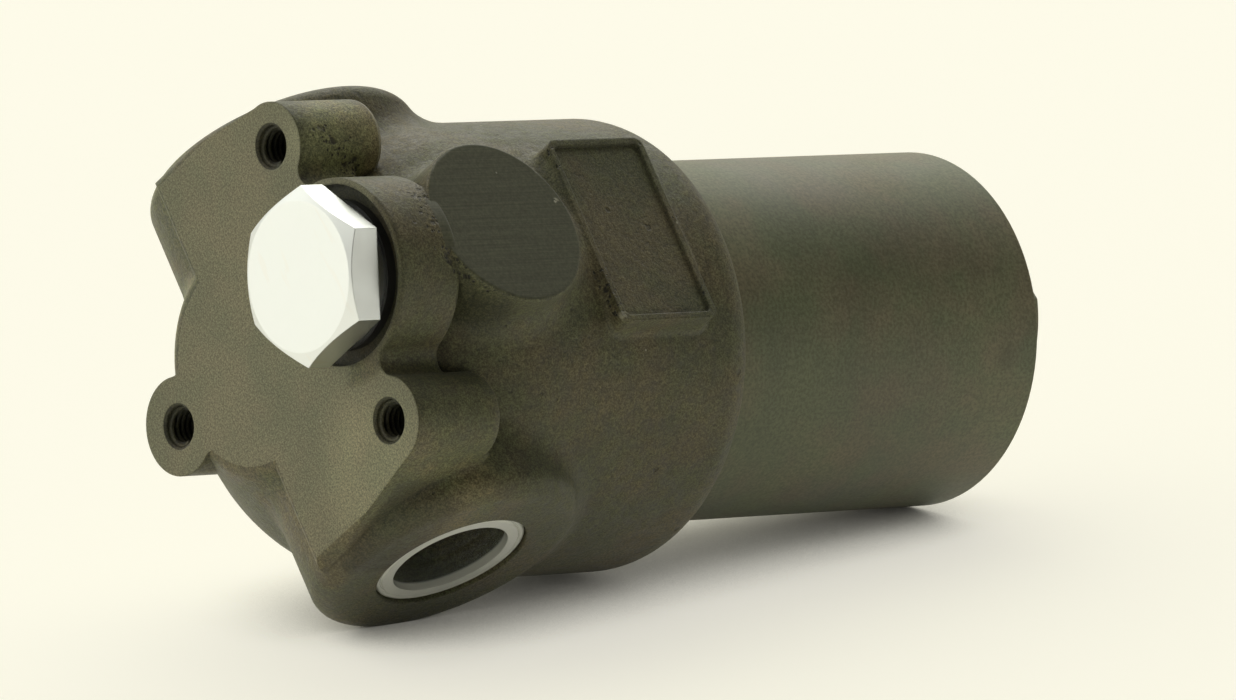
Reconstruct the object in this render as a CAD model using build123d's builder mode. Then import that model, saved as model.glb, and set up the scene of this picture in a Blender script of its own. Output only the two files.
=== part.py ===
from build123d import *
from math import asin, atan2, cos, degrees, hypot, pi, radians, sin, sqrt
import os

os.makedirs("parts", exist_ok=True)

# Frame: the origin is on the bowl axis in the plane of the mounting face, +Z points out of that
# face and the bowl hangs along -Z. +X points out of the inlet port, -X out of the outlet port,
# and +Y towards the plugged indicator port, the blank indicator boss and the nameplate pad.

# Mounting face and its three tapped holes
hole_side = 60.0
pattern_r = hole_side / sqrt(3)
pattern_y = 11.0
hole_r = 4.0
hole_depth = 14.0
hole_drill_r = 3.4
hole_drill_depth = 18.0
hole_countersink = 0.5
countersink_angle = 90
front_lobe_y = pattern_y + pattern_r / 2
front_lobe_x = hole_side / 2
rear_lobe_y = pattern_y - pattern_r

# Head casting
rim_z = -92.2
skirt_r = 43.7
rim_round = 8.0
hub_r = 19.2
hub_round = 4.5
front_lobe_r = 8.4
rear_lobe_r = 9.5
lobe_bottom_z = -21.0
lobe_round = 1.5
plate_blend = 3.0
shoulder_round = 33.7
shoulder_z = -38.0
arm_end_x = 43.0
arm_bulge_y = 3.0
arm_edge_y = -5.4
arm_reach_y = 90.0
arm_round = 2.6
cast_blend = 8.0

# Ports, one behind the other on the X axis
port_z = -29.2
port_face_x = 45.4
port_boss_r = 27.0
port_boss_round = 4.2
port_thread_r = 13.2
port_thread_depth = 16.0
port_mouth_r = 15.3
port_mouth_depth = 1.9
port_bore_r = 11.0

# Indicator boss without a bore, and the raised pad for a nameplate
blank_y = 48.5
blank_r = 17.3
blank_z = -28.8
blank_edge = 0.6
pad_y = 44.0
pad_half_x = 20.0
pad_top_z = -52.6
pad_bottom_z = -77.0
pad_corner = 2.0
pad_blend = 2.0
pad_rim = 1.3
pad_recess = 0.7
pad_recess_corner = 1.2

# Indicator port with its hexagon plug, M20 x 1.5
plug_y = 31.0
plug_lobe_r = 18.2
plug_lobe_bottom_z = -15.0
spot_r = 17.0
spot_depth = 2.0
plug_thread_r = 10.0
plug_hole_depth = 14.0
plug_pilot_r = 4.0
plug_pilot_depth = 22.0

# Drillings that bring both pressures to the indicator port
sense_r = 1.25
inlet_sense_y = 28.6
outlet_sense_start = (0, 24.0, -12.5)
outlet_sense_way = (0, -18.0, -11.5)
outlet_sense_length = 22.0

# Inner chambers of the head
chamber_r = 30.0
chamber_top_z = -52.0
chamber_bottom_z = -60.0
seal_bore_r = 32.7
seal_bore_end_z = -72.0
bowl_thread_r = 34.0
inlet_passage_x = 22.0
inlet_passage_r = 7.0
outlet_bore_r = 8.6
spigot_thread_r = 10.5
bypass_x = -21.0
bypass_hole_r = 7.0

# Bowl, screwed into the head
thread_clearance = 0.05
bowl_r = 35.0
bowl_gap = 0.2
bowl_bore_r = 27.5
bowl_top_z = -62.5
bowl_lead = 1.0
bowl_neck_taper = 2.5
bowl_end_z = -175.0
bowl_floor_z = -170.0
bowl_floor_round = 8.0
bowl_edge = 0.8
dome_depth = 9.0
dome_r = 27.0
dome_mid = 0.62
bowl_hex_af = 27.0
bowl_hex_end_z = -196.0
bowl_hex_turn = 18.4
bowl_hex_root_z = -177.0
bowl_hex_face_r = 13.0
bowl_hex_corner_z = -194.6
groove_floor_r = 29.6
groove_top_z = -65.6
groove_bottom_z = -70.4

# Seals of the bowl
seal_gap = 0.05
o_ring_section_r = 1.5
backup_thickness = 1.4

# Filter element
element_r = 25.0
element_top_z = -58.5
element_cap_t = 2.0
element_bottom_z = -165.0
element_skirt = 5.0
element_skirt_wall = 0.6
collar_r = 15.1
collar_bore_r = 11.1
collar_end_z = -69.0
collar_lead = 0.8
collar_groove_r = 13.1
collar_groove_top_z = -63.8
collar_groove_bottom_z = -66.2
element_o_ring_section_r = 1.0
core_r = 16.0
core_wall = 0.8
core_hole_r = 2.6
core_hole_rows = 7
core_hole_pitch = 13.0
core_hole_directions = 3
pleat_count = 36
pleat_tip_r = 23.6
pleat_valley_r = 16.6
pleat_fold = 1.8
wrap_r = 24.35
wrap_wall = 0.5
wrap_window_width = 7.5
wrap_window_height = 12.0
wrap_window_rows = 6
wrap_window_pitch = 15.0
wrap_window_directions = 4
locating_ring_height = 3.0
locating_ring_wall = 1.2

# Spigot that carries the element
spigot_r = 11.0
spigot_bore_r = 7.5
spigot_flange_r = 12.3
spigot_flange_t = 3.0
spigot_end_z = -71.0
spigot_lead = 1.0
spigot_thread_length = 10.0

# Bypass valve cartridge with poppet, spring and retainer
bypass_flange_r = 8.4
bypass_flange_t = 3.0
bypass_seal_t = 1.0
bypass_top_z = -41.0
bypass_slot_width = 2.0
bypass_slot_depth = 1.4
bypass_inlet_r = 3.5
bypass_bore_r = 5.5
bypass_seat_z = -51.5
poppet_r = 4.9
poppet_t = 1.6
poppet_cone = 0.8
poppet_stem_r = 1.4
poppet_stem_end_z = -42.0
spring_r = 3.4
spring_wire_r = 0.4
spring_pitch = 1.3
retainer_t = 1.2
retainer_z = -44.0
retainer_bore_r = 1.5
retainer_hole_r = 1.0
retainer_hole_ring_r = 3.5
retainer_hole_count = 4

# Hexagon plug and its seal ring
plug_hex_af = 29.5
plug_hex_turn = 30
plug_hex_back_z = 2.8
plug_hex_front_z = 9.7
plug_hex_face_r = 14.2
plug_hex_corner_z = 8.05
plug_collar_r = 13.4
plug_seal_r = 14.2
plug_thread_end_z = -13.0
plug_thread_lead = 1.2

# Port caps, thin plastic cups pushed into the ports
cap_flange_r = 14.1
cap_flange_t = 1.3
cap_flange_edge = 0.4
cap_lip_inner_r = 13.2
cap_lip_r = 14.5
cap_lip_t = 0.7
cap_lip_shift_y = -0.4
cap_lip_shift_z = -0.45
cap_lip_start = 127
cap_lip_arc = 110
cap_cup_r = 12.6
cap_wall = 1.0
cap_depth = 13.0
cap_floor = 1.0
cap_rib_count = 12
cap_rib_r = 0.45
cap_rib_length = 10.0

hole_points = [
    (-front_lobe_x, front_lobe_y),
    (front_lobe_x, front_lobe_y),
    (0, rear_lobe_y),
]



def shoulder_flank_angle():
    """Angle in degrees of the straight flank that touches the hub edge and the shoulder arc."""
    out = hub_r - (skirt_r - shoulder_round)
    up = -hub_round - shoulder_z
    return degrees(asin((shoulder_round - hub_round) / hypot(out, up)) - atan2(out, up))


# The two port bosses, one cylinder with rounded ends
with BuildPart() as port_bosses:
    with BuildSketch(Plane.YZ):
        with Locations((0, port_z)):
            Circle(port_boss_r)
    extrude(amount=port_face_x, both=True)
    fillet(port_bosses.edges().filter_by(GeomType.CIRCLE), port_boss_round)

# The blank indicator boss, its face broken by a small edge radius
with BuildPart() as blank_boss:
    with BuildSketch(Plane.XZ):
        with Locations((0, blank_z)):
            Circle(blank_r)
    extrude(amount=-blank_y)
    fillet(blank_boss.faces().sort_by(Axis.Y)[-1].edges(), blank_edge)

# The slab over the two port bosses, rounded along its rear edge and at both ends
with BuildPart() as port_arms:
    with BuildSketch():
        with BuildLine():
            Polyline(
                (arm_end_x, arm_edge_y),
                (arm_end_x, arm_bulge_y),
                (front_lobe_x + front_lobe_r, front_lobe_y),
                (-front_lobe_x - front_lobe_r, front_lobe_y),
                (-arm_end_x, arm_bulge_y),
                (-arm_end_x, arm_edge_y),
                close=True,
            )
        make_face()
    extrude(amount=lobe_bottom_z)
    with BuildSketch(Plane.YZ) as across:
        with Locations((arm_edge_y, 0)):
            Rectangle(arm_reach_y, -lobe_bottom_z, align=(Align.MIN, Align.MAX))
        fillet(across.vertices().group_by(Axis.X)[0].sort_by(Axis.Y)[-1], arm_round)
    extrude(amount=arm_end_x, both=True, mode=Mode.INTERSECT)
    with BuildSketch(Plane.XZ) as along:
        Rectangle(2 * arm_end_x, -lobe_bottom_z, align=(Align.CENTER, Align.MAX))
        fillet(along.vertices().group_by(Axis.Y)[-1], arm_round)
    extrude(amount=arm_reach_y, both=True, mode=Mode.INTERSECT)

# Lobes round the tapped holes, with soft inner corners and a rounded lower edge
with BuildPart() as mounting_lobes:
    with BuildSketch():
        Circle(hub_r)
        with Locations(*hole_points[:2]):
            Circle(front_lobe_r)
        with Locations(hole_points[2]):
            Circle(rear_lobe_r)
        with Locations((0, front_lobe_y)):
            Rectangle(2 * front_lobe_x, front_lobe_y, align=(Align.CENTER, Align.MAX))
        offset(amount=plate_blend)
        offset(amount=-plate_blend)
    extrude(amount=lobe_bottom_z)
    fillet(mounting_lobes.edges().group_by(Axis.Z)[0], lobe_round)

# Lobe round the indicator port, reaching over to the two front holes
with BuildPart() as indicator_lobe:
    with BuildSketch():
        with Locations((0, plug_y)):
            Circle(plug_lobe_r)
        with Locations(*hole_points[:2]):
            Circle(front_lobe_r)
        with Locations((0, front_lobe_y)):
            Rectangle(2 * front_lobe_x, front_lobe_y, align=(Align.CENTER, Align.MAX))
        offset(amount=plate_blend)
        offset(amount=-plate_blend)
    extrude(amount=plug_lobe_bottom_z)
    fillet(indicator_lobe.edges().group_by(Axis.Z)[0], lobe_round)


with BuildPart() as filter_head:
    # Round body: hub under the mounting face, shoulder and skirt
    with BuildSketch(Plane.XZ):
        with BuildLine():
            flank_angle = shoulder_flank_angle()
            hub_edge = CenterArc((hub_r, -hub_round), hub_round, flank_angle, 90 - flank_angle)
            shoulder = CenterArc(
                (skirt_r - shoulder_round, shoulder_z), shoulder_round, 0, flank_angle
            )
            Line(hub_edge @ 0, shoulder @ 1)
            wall = Line(shoulder @ 0, (skirt_r, rim_z + rim_round))
            edge = TangentArc(wall @ 1, (skirt_r - rim_round, rim_z), tangent=(0, -1))
            Polyline(edge @ 1, (0, rim_z), (0, 0), hub_edge @ 1)
        make_face()
    revolve(axis=Axis.Z)

    # Bosses run into the body with large casting radii
    add(port_bosses.part)
    fillet(filter_head.edges(Select.NEW), cast_blend)
    add(blank_boss.part)
    fillet(filter_head.edges(Select.NEW), cast_blend)

    # Raised pad for a nameplate, sunk inside a narrow rim
    with BuildSketch(Plane.XZ):
        with Locations((0, (pad_top_z + pad_bottom_z) / 2)):
            RectangleRounded(2 * pad_half_x, pad_top_z - pad_bottom_z, pad_corner)
    extrude(amount=-pad_y)
    fillet(filter_head.edges(Select.NEW), pad_blend)
    with BuildSketch(Plane.XZ.offset(-pad_y)):
        with Locations((0, (pad_top_z + pad_bottom_z) / 2)):
            RectangleRounded(
                2 * (pad_half_x - pad_rim),
                pad_top_z - pad_bottom_z - 2 * pad_rim,
                pad_recess_corner,
            )
    extrude(amount=pad_recess, mode=Mode.SUBTRACT)

    # Plate of the mounting face
    add(port_arms.part)
    add(mounting_lobes.part)
    add(indicator_lobe.part)

    # Chambers: bowl thread, seal bore and the space round the element
    with BuildSketch(Plane.XZ):
        with BuildLine():
            Polyline(
                (0, rim_z),
                (bowl_thread_r, rim_z),
                (bowl_thread_r, seal_bore_end_z),
                (seal_bore_r, seal_bore_end_z),
                (seal_bore_r, chamber_bottom_z),
                (chamber_r, chamber_bottom_z),
                (chamber_r, chamber_top_z),
                (0, chamber_top_z),
                close=True,
            )
        make_face()
    revolve(axis=Axis.Z, mode=Mode.SUBTRACT)

    # Ports: threaded mouth, then the bore
    for side in (1, -1):
        with BuildSketch(Plane.YZ.offset(side * port_face_x)):
            with Locations((0, port_z)):
                Circle(port_mouth_r)
        extrude(amount=-side * port_mouth_depth, mode=Mode.SUBTRACT)
        with BuildSketch(Plane.YZ.offset(side * port_face_x)):
            with Locations((0, port_z)):
                Circle(port_thread_r)
        extrude(amount=-side * port_thread_depth, mode=Mode.SUBTRACT)
    with BuildSketch(Plane.YZ.offset(-port_face_x)):
        with Locations((0, port_z)):
            Circle(port_bore_r)
    extrude(amount=port_face_x + outlet_bore_r / 2, mode=Mode.SUBTRACT)
    with BuildSketch(Plane.YZ.offset(port_face_x)):
        with Locations((0, port_z)):
            Circle(port_bore_r)
    extrude(amount=inlet_passage_x - inlet_passage_r / 2 - port_face_x, mode=Mode.SUBTRACT)

    # Passages between the ports and the chamber
    with BuildSketch(Plane.XY.offset(chamber_top_z)):
        with Locations((inlet_passage_x, 0)):
            Circle(inlet_passage_r)
        with Locations((bypass_x, 0)):
            Circle(bypass_hole_r)
        Circle(outlet_bore_r)
    extrude(amount=port_z - chamber_top_z, mode=Mode.SUBTRACT)
    with BuildSketch(Plane.XY.offset(chamber_top_z)):
        Circle(spigot_thread_r)
    extrude(amount=spigot_thread_length, mode=Mode.SUBTRACT)

    # Indicator port: spot face, thread, pilot hole and its two drillings
    with Locations((0, plug_y, 0)):
        Hole(spot_r, depth=spot_depth)
        Hole(plug_thread_r, depth=plug_hole_depth)
        Hole(plug_pilot_r, depth=plug_pilot_depth)
    with BuildSketch(Plane.XY.offset(chamber_top_z)):
        with Locations((0, inlet_sense_y)):
            Circle(sense_r)
    extrude(amount=-chamber_top_z - plug_pilot_depth, mode=Mode.SUBTRACT)
    with BuildSketch(Plane(origin=outlet_sense_start, z_dir=outlet_sense_way)):
        Circle(sense_r)
    extrude(amount=outlet_sense_length, mode=Mode.SUBTRACT)

    # Tapped holes of the mounting face
    with Locations(*hole_points):
        CounterSinkHole(
            hole_r,
            hole_r + hole_countersink,
            depth=hole_depth,
            counter_sink_angle=countersink_angle,
        )
        Hole(hole_drill_r, depth=hole_drill_depth)

filter_head.part.label = "filter_head"
export_step(filter_head.part, "parts/filter_head.step")


# Hexagon under the bowl, with turned corners
with BuildPart() as bowl_hexagon:
    with BuildSketch(Plane.XY.offset(bowl_hex_root_z)):
        RegularPolygon(bowl_hex_af / 2, 6, major_radius=False, rotation=bowl_hex_turn)
    extrude(amount=bowl_hex_end_z - bowl_hex_root_z)
    with BuildSketch(Plane.XZ):
        with BuildLine():
            Polyline(
                (0, bowl_hex_root_z),
                (bowl_hex_af, bowl_hex_root_z),
                (bowl_hex_af, bowl_hex_corner_z),
                (bowl_hex_af / sqrt(3), bowl_hex_corner_z),
                (bowl_hex_face_r, bowl_hex_end_z),
                (0, bowl_hex_end_z),
                close=True,
            )
        make_face()
    revolve(axis=Axis.Z, mode=Mode.INTERSECT)

with BuildPart() as filter_bowl:
    with BuildSketch(Plane.XZ):
        with BuildLine():
            neck_r = bowl_thread_r - thread_clearance
            land_r = seal_bore_r - thread_clearance
            outer = Polyline(
                (bowl_bore_r, bowl_top_z),
                (land_r - bowl_lead, bowl_top_z),
                (land_r, bowl_top_z - bowl_lead),
                (land_r, groove_top_z),
                (groove_floor_r, groove_top_z),
                (groove_floor_r, groove_bottom_z),
                (land_r, groove_bottom_z),
                (land_r, seal_bore_end_z - bowl_lead),
                (neck_r, seal_bore_end_z - bowl_neck_taper),
                (neck_r, rim_z - bowl_gap),
                (bowl_r, rim_z - bowl_gap),
                (bowl_r, bowl_end_z + bowl_edge),
                (bowl_r - bowl_edge, bowl_end_z),
                (dome_r, bowl_end_z),
            )
            dome = ThreePointArc(
                (dome_r, bowl_end_z),
                (dome_r * dome_mid, bowl_end_z - dome_depth * dome_mid),
                (0, bowl_end_z - dome_depth),
            )
            inner = Polyline(
                dome @ 1,
                (0, bowl_floor_z),
                (bowl_bore_r - bowl_floor_round, bowl_floor_z),
            )
            corner = TangentArc(
                inner @ 1, (bowl_bore_r, bowl_floor_z + bowl_floor_round), tangent=(1, 0)
            )
            Line(corner @ 1, outer @ 0)
        make_face()
    revolve(axis=Axis.Z)
    add(bowl_hexagon.part)

filter_bowl.part.label = "filter_bowl"
export_step(filter_bowl.part, "parts/filter_bowl.step")


# O-ring in the groove of the bowl, against the seal bore of the head
with BuildPart() as bowl_o_ring:
    with BuildSketch(Plane.XZ):
        with Locations(
            (
                groove_floor_r + seal_gap + o_ring_section_r,
                groove_top_z - 2 * seal_gap - o_ring_section_r,
            )
        ):
            Circle(o_ring_section_r)
    revolve(axis=Axis.Z)

bowl_o_ring.part.label = "bowl_o_ring"
export_step(bowl_o_ring.part, "parts/bowl_o_ring.step")

# Flat backup ring below the O-ring
with BuildPart() as bowl_backup_ring:
    with BuildSketch(Plane.XY.offset(groove_bottom_z + seal_gap)):
        Circle(seal_bore_r - seal_gap)
        Circle(groove_floor_r + seal_gap, mode=Mode.SUBTRACT)
    extrude(amount=backup_thickness)

bowl_backup_ring.part.label = "bowl_backup_ring"
export_step(bowl_backup_ring.part, "parts/bowl_backup_ring.step")


# Hollow spigot screwed into the web of the head
with BuildPart() as element_spigot:
    with BuildSketch(Plane.XZ):
        with BuildLine():
            Polyline(
                (spigot_bore_r, chamber_top_z + spigot_thread_length),
                (spigot_thread_r - thread_clearance, chamber_top_z + spigot_thread_length),
                (spigot_thread_r - thread_clearance, chamber_top_z),
                (spigot_flange_r, chamber_top_z),
                (spigot_flange_r, chamber_top_z - spigot_flange_t),
                (spigot_r, chamber_top_z - spigot_flange_t),
                (spigot_r, spigot_end_z + spigot_lead),
                (spigot_r - spigot_lead, spigot_end_z),
                (spigot_bore_r, spigot_end_z),
                close=True,
            )
        make_face()
    revolve(axis=Axis.Z)

element_spigot.part.label = "element_spigot"
export_step(element_spigot.part, "parts/element_spigot.step")

# Upper end cap of the element: disc, outer skirt and a collar with an inner groove
with BuildPart() as element_top_cap:
    disc_bottom_z = element_top_z - element_cap_t
    skirt_inner_r = element_r - element_skirt_wall
    with BuildSketch(Plane.XZ):
        with BuildLine():
            Polyline(
                (collar_bore_r + collar_lead, element_top_z),
                (element_r, element_top_z),
                (element_r, disc_bottom_z - element_skirt),
                (skirt_inner_r, disc_bottom_z - element_skirt),
                (skirt_inner_r, disc_bottom_z),
                (collar_r, disc_bottom_z),
                (collar_r, collar_end_z),
                (collar_bore_r, collar_end_z),
                (collar_bore_r, collar_groove_bottom_z),
                (collar_groove_r, collar_groove_bottom_z),
                (collar_groove_r, collar_groove_top_z),
                (collar_bore_r, collar_groove_top_z),
                (collar_bore_r, element_top_z - collar_lead),
                close=True,
            )
        make_face()
    revolve(axis=Axis.Z)

element_top_cap.part.label = "element_top_cap"
export_step(element_top_cap.part, "parts/element_top_cap.step")

# O-ring in the collar, round the spigot
with BuildPart() as element_o_ring:
    with BuildSketch(Plane.XZ):
        with Locations(
            (
                spigot_r + seal_gap + element_o_ring_section_r,
                (collar_groove_top_z + collar_groove_bottom_z) / 2,
            )
        ):
            Circle(element_o_ring_section_r)
    revolve(axis=Axis.Z)

element_o_ring.part.label = "element_o_ring"
export_step(element_o_ring.part, "parts/element_o_ring.step")

# Lower end cap of the element: closed disc, outer skirt and a ring inside the core
with BuildPart() as element_bottom_cap:
    floor_z = element_bottom_z + element_cap_t
    core_bore_r = core_r - core_wall
    ring_r = core_bore_r - seal_gap
    with BuildSketch(Plane.XZ):
        with BuildLine():
            Polyline(
                (0, element_bottom_z),
                (element_r, element_bottom_z),
                (element_r, floor_z + element_skirt),
                (skirt_inner_r, floor_z + element_skirt),
                (skirt_inner_r, floor_z),
                (ring_r, floor_z),
                (ring_r, floor_z + locating_ring_height),
                (ring_r - locating_ring_wall, floor_z + locating_ring_height),
                (ring_r - locating_ring_wall, floor_z),
                (0, floor_z),
                close=True,
            )
        make_face()
    revolve(axis=Axis.Z)

element_bottom_cap.part.label = "element_bottom_cap"
export_step(element_bottom_cap.part, "parts/element_bottom_cap.step")

element_length = disc_bottom_z - floor_z
element_mid_z = (disc_bottom_z + floor_z) / 2

# Perforated tube inside the pleats
with BuildPart() as element_core:
    with BuildSketch(Plane.XY.offset(floor_z)):
        Circle(core_r)
        Circle(core_bore_r, mode=Mode.SUBTRACT)
    extrude(amount=element_length)
    for direction in range(core_hole_directions):
        through = Plane.XZ.rotated((0, 0, direction * 180 / core_hole_directions))
        with BuildSketch(through):
            with Locations((0, element_mid_z)):
                with GridLocations(core_r, core_hole_pitch, 1, core_hole_rows):
                    Circle(core_hole_r)
        extrude(amount=core_r, both=True, mode=Mode.SUBTRACT)

element_core.part.label = "element_core"
export_step(element_core.part, "parts/element_core.step")

# Pleated filter medium
with BuildPart() as element_media:
    with BuildSketch(Plane.XY.offset(floor_z)):
        for tip_r, valley_r, side in (
            (pleat_tip_r, pleat_valley_r + pleat_fold, Mode.ADD),
            (pleat_tip_r - pleat_fold, pleat_valley_r, Mode.SUBTRACT),
        ):
            folds = [
                (
                    (tip_r, valley_r)[corner_index % 2] * cos(pi * corner_index / pleat_count),
                    (tip_r, valley_r)[corner_index % 2] * sin(pi * corner_index / pleat_count),
                )
                for corner_index in range(2 * pleat_count)
            ]
            with BuildLine():
                Polyline(*folds, close=True)
            make_face(mode=side)
    extrude(amount=element_length)

element_media.part.label = "element_media"
export_step(element_media.part, "parts/element_media.step")

# Open sleeve round the pleats
with BuildPart() as element_wrap:
    with BuildSketch(Plane.XY.offset(floor_z)):
        Circle(wrap_r)
        Circle(wrap_r - wrap_wall, mode=Mode.SUBTRACT)
    extrude(amount=element_length)
    for direction in range(wrap_window_directions):
        through = Plane.XZ.rotated((0, 0, direction * 180 / wrap_window_directions))
        with BuildSketch(through):
            with Locations((0, element_mid_z)):
                with GridLocations(wrap_r, wrap_window_pitch, 1, wrap_window_rows):
                    Rectangle(wrap_window_width, wrap_window_height)
        extrude(amount=wrap_r, both=True, mode=Mode.SUBTRACT)

element_wrap.part.label = "element_wrap"
export_step(element_wrap.part, "parts/element_wrap.step")


# Bypass cartridge: threaded body with a seat and a slotted flange
with BuildPart() as bypass_valve_body:
    bypass_flange_z = chamber_top_z - bypass_seal_t
    bypass_end_z = bypass_flange_z - bypass_flange_t
    bypass_axis = Axis((bypass_x, 0, 0), (0, 0, 1))
    with BuildSketch(Plane.XZ):
        with BuildLine():
            Polyline(
                (bypass_x + bypass_bore_r, bypass_top_z),
                (bypass_x + bypass_hole_r - thread_clearance, bypass_top_z),
                (bypass_x + bypass_hole_r - thread_clearance, bypass_flange_z),
                (bypass_x + bypass_flange_r, bypass_flange_z),
                (bypass_x + bypass_flange_r, bypass_end_z),
                (bypass_x + bypass_inlet_r, bypass_end_z),
                (bypass_x + bypass_inlet_r, bypass_seat_z),
                (bypass_x + bypass_bore_r, bypass_seat_z),
                close=True,
            )
        make_face()
    revolve(axis=bypass_axis)
    with BuildSketch(Plane.XY.offset(bypass_end_z)):
        with Locations((bypass_x, 0)):
            Rectangle(2 * bypass_flange_r, bypass_slot_width)
    extrude(amount=bypass_slot_depth, mode=Mode.SUBTRACT)

bypass_valve_body.part.label = "bypass_valve_body"
export_step(bypass_valve_body.part, "parts/bypass_valve_body.step")

with BuildPart() as bypass_seal:
    with BuildSketch(Plane.XY.offset(bypass_flange_z)):
        with Locations((bypass_x, 0)):
            Circle(bypass_flange_r)
            Circle(bypass_hole_r, mode=Mode.SUBTRACT)
    extrude(amount=bypass_seal_t)

bypass_seal.part.label = "bypass_seal"
export_step(bypass_seal.part, "parts/bypass_seal.step")

# Poppet with its guide stem
with BuildPart() as bypass_poppet:
    with BuildSketch(Plane.XZ):
        with BuildLine():
            Polyline(
                (bypass_x, bypass_seat_z),
                (bypass_x + poppet_r, bypass_seat_z),
                (bypass_x + poppet_r, bypass_seat_z + poppet_t),
                (bypass_x + poppet_stem_r + poppet_cone, bypass_seat_z + poppet_t),
                (bypass_x + poppet_stem_r, bypass_seat_z + poppet_t + poppet_cone),
                (bypass_x + poppet_stem_r, poppet_stem_end_z),
                (bypass_x, poppet_stem_end_z),
                close=True,
            )
        make_face()
    revolve(axis=bypass_axis)

bypass_poppet.part.label = "bypass_poppet"
export_step(bypass_poppet.part, "parts/bypass_poppet.step")

# Guide disc that holds the spring
with BuildPart() as bypass_spring_retainer:
    with BuildSketch(Plane.XY.offset(retainer_z)):
        with Locations((bypass_x, 0)):
            Circle(bypass_bore_r)
            Circle(retainer_bore_r, mode=Mode.SUBTRACT)
            with PolarLocations(retainer_hole_ring_r, retainer_hole_count):
                Circle(retainer_hole_r, mode=Mode.SUBTRACT)
    extrude(amount=retainer_t)

bypass_spring_retainer.part.label = "bypass_spring_retainer"
export_step(bypass_spring_retainer.part, "parts/bypass_spring_retainer.step")

# Coil spring between poppet and guide disc
with BuildPart() as bypass_spring:
    spring_low_z = bypass_seat_z + poppet_t + spring_wire_r + seal_gap
    spring_high_z = retainer_z - spring_wire_r - seal_gap
    with BuildLine(Plane.XY.offset(spring_low_z)) as coil:
        with Locations((bypass_x, 0)):
            Helix(spring_pitch, spring_high_z - spring_low_z, spring_r)
    with BuildSketch(Plane(origin=coil.line @ 0, z_dir=coil.line % 0)):
        Circle(spring_wire_r)
    sweep(path=coil.line, is_frenet=True)

bypass_spring.part.label = "bypass_spring"
export_step(bypass_spring.part, "parts/bypass_spring.step")


# Hexagon of the plug, with turned corners on its outer face
with BuildPart() as plug_hexagon:
    with BuildSketch(Plane.XY.offset(plug_hex_back_z)):
        with Locations((0, plug_y)):
            RegularPolygon(plug_hex_af / 2, 6, major_radius=False, rotation=plug_hex_turn)
    extrude(amount=plug_hex_front_z - plug_hex_back_z)
    with BuildSketch(Plane.XZ.offset(-plug_y)):
        with BuildLine():
            Polyline(
                (0, plug_hex_back_z),
                (plug_hex_af, plug_hex_back_z),
                (plug_hex_af, plug_hex_corner_z),
                (plug_hex_af / sqrt(3), plug_hex_corner_z),
                (plug_hex_face_r, plug_hex_front_z),
                (0, plug_hex_front_z),
                close=True,
            )
        make_face()
    revolve(axis=Axis((0, plug_y, 0), (0, 0, 1)), mode=Mode.INTERSECT)

with BuildPart() as indicator_plug:
    with BuildSketch(Plane.XZ.offset(-plug_y)):
        with BuildLine():
            shank_r = plug_thread_r - thread_clearance
            Polyline(
                (0, plug_hex_back_z),
                (plug_collar_r, plug_hex_back_z),
                (plug_collar_r, 0),
                (shank_r, 0),
                (shank_r, plug_thread_end_z + plug_thread_lead),
                (shank_r - plug_thread_lead, plug_thread_end_z),
                (0, plug_thread_end_z),
                close=True,
            )
        make_face()
    revolve(axis=Axis((0, plug_y, 0), (0, 0, 1)))
    add(plug_hexagon.part)

indicator_plug.part.label = "indicator_plug"
export_step(indicator_plug.part, "parts/indicator_plug.step")

# Flat seal ring between the plug and the spot face
with BuildPart() as plug_seal_ring:
    with BuildSketch(Plane.XY.offset(-spot_depth)):
        with Locations((0, plug_y)):
            Circle(plug_seal_r)
            Circle(plug_thread_r, mode=Mode.SUBTRACT)
    extrude(amount=spot_depth)

plug_seal_ring.part.label = "plug_seal_ring"
export_step(plug_seal_ring.part, "parts/plug_seal_ring.step")


# Port cap: flange in the mouth of the port, cup in its thread, thin ribs along the cup and a
# lip on one side of the flange to pull it by
with BuildPart() as inlet_port_cap:
    cap_seat_x = port_face_x - port_mouth_depth
    with BuildSketch(Plane.XZ):
        with BuildLine():
            Polyline(
                (cap_seat_x - cap_depth, port_z),
                (cap_seat_x - cap_depth, port_z + cap_cup_r),
                (cap_seat_x, port_z + cap_cup_r),
                (cap_seat_x, port_z + cap_flange_r),
                (cap_seat_x + cap_flange_t - cap_flange_edge, port_z + cap_flange_r),
                (cap_seat_x + cap_flange_t, port_z + cap_flange_r - cap_flange_edge),
                (cap_seat_x + cap_flange_t, port_z + cap_cup_r - cap_wall),
                (cap_seat_x - cap_depth + cap_floor, port_z + cap_cup_r - cap_wall),
                (cap_seat_x - cap_depth + cap_floor, port_z),
                close=True,
            )
        make_face()
    revolve(axis=Axis((0, 0, port_z), (1, 0, 0)))
    with BuildSketch(Plane.YZ.offset(cap_seat_x)):
        with Locations((0, port_z)):
            with PolarLocations(cap_cup_r, cap_rib_count):
                Circle(cap_rib_r)
            Circle(cap_cup_r - cap_wall / 2, mode=Mode.SUBTRACT)
    extrude(amount=-cap_rib_length)
    lip_centre = Plane(origin=(cap_seat_x, cap_lip_shift_y, port_z + cap_lip_shift_z))
    with BuildSketch(lip_centre.rotated((cap_lip_start, 0, 0))):
        with Locations((0, cap_lip_inner_r)):
            Rectangle(cap_lip_t, cap_lip_r - cap_lip_inner_r, align=(Align.MIN, Align.MIN))
    revolve(axis=Axis(lip_centre.origin, (1, 0, 0)), revolution_arc=cap_lip_arc)

inlet_port_cap.part.label = "inlet_port_cap"
export_step(inlet_port_cap.part, "parts/inlet_port_cap.step")

# The outlet port carries the same cap
with BuildPart() as outlet_port_cap:
    mirror(inlet_port_cap.part, about=Plane.YZ)

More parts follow.
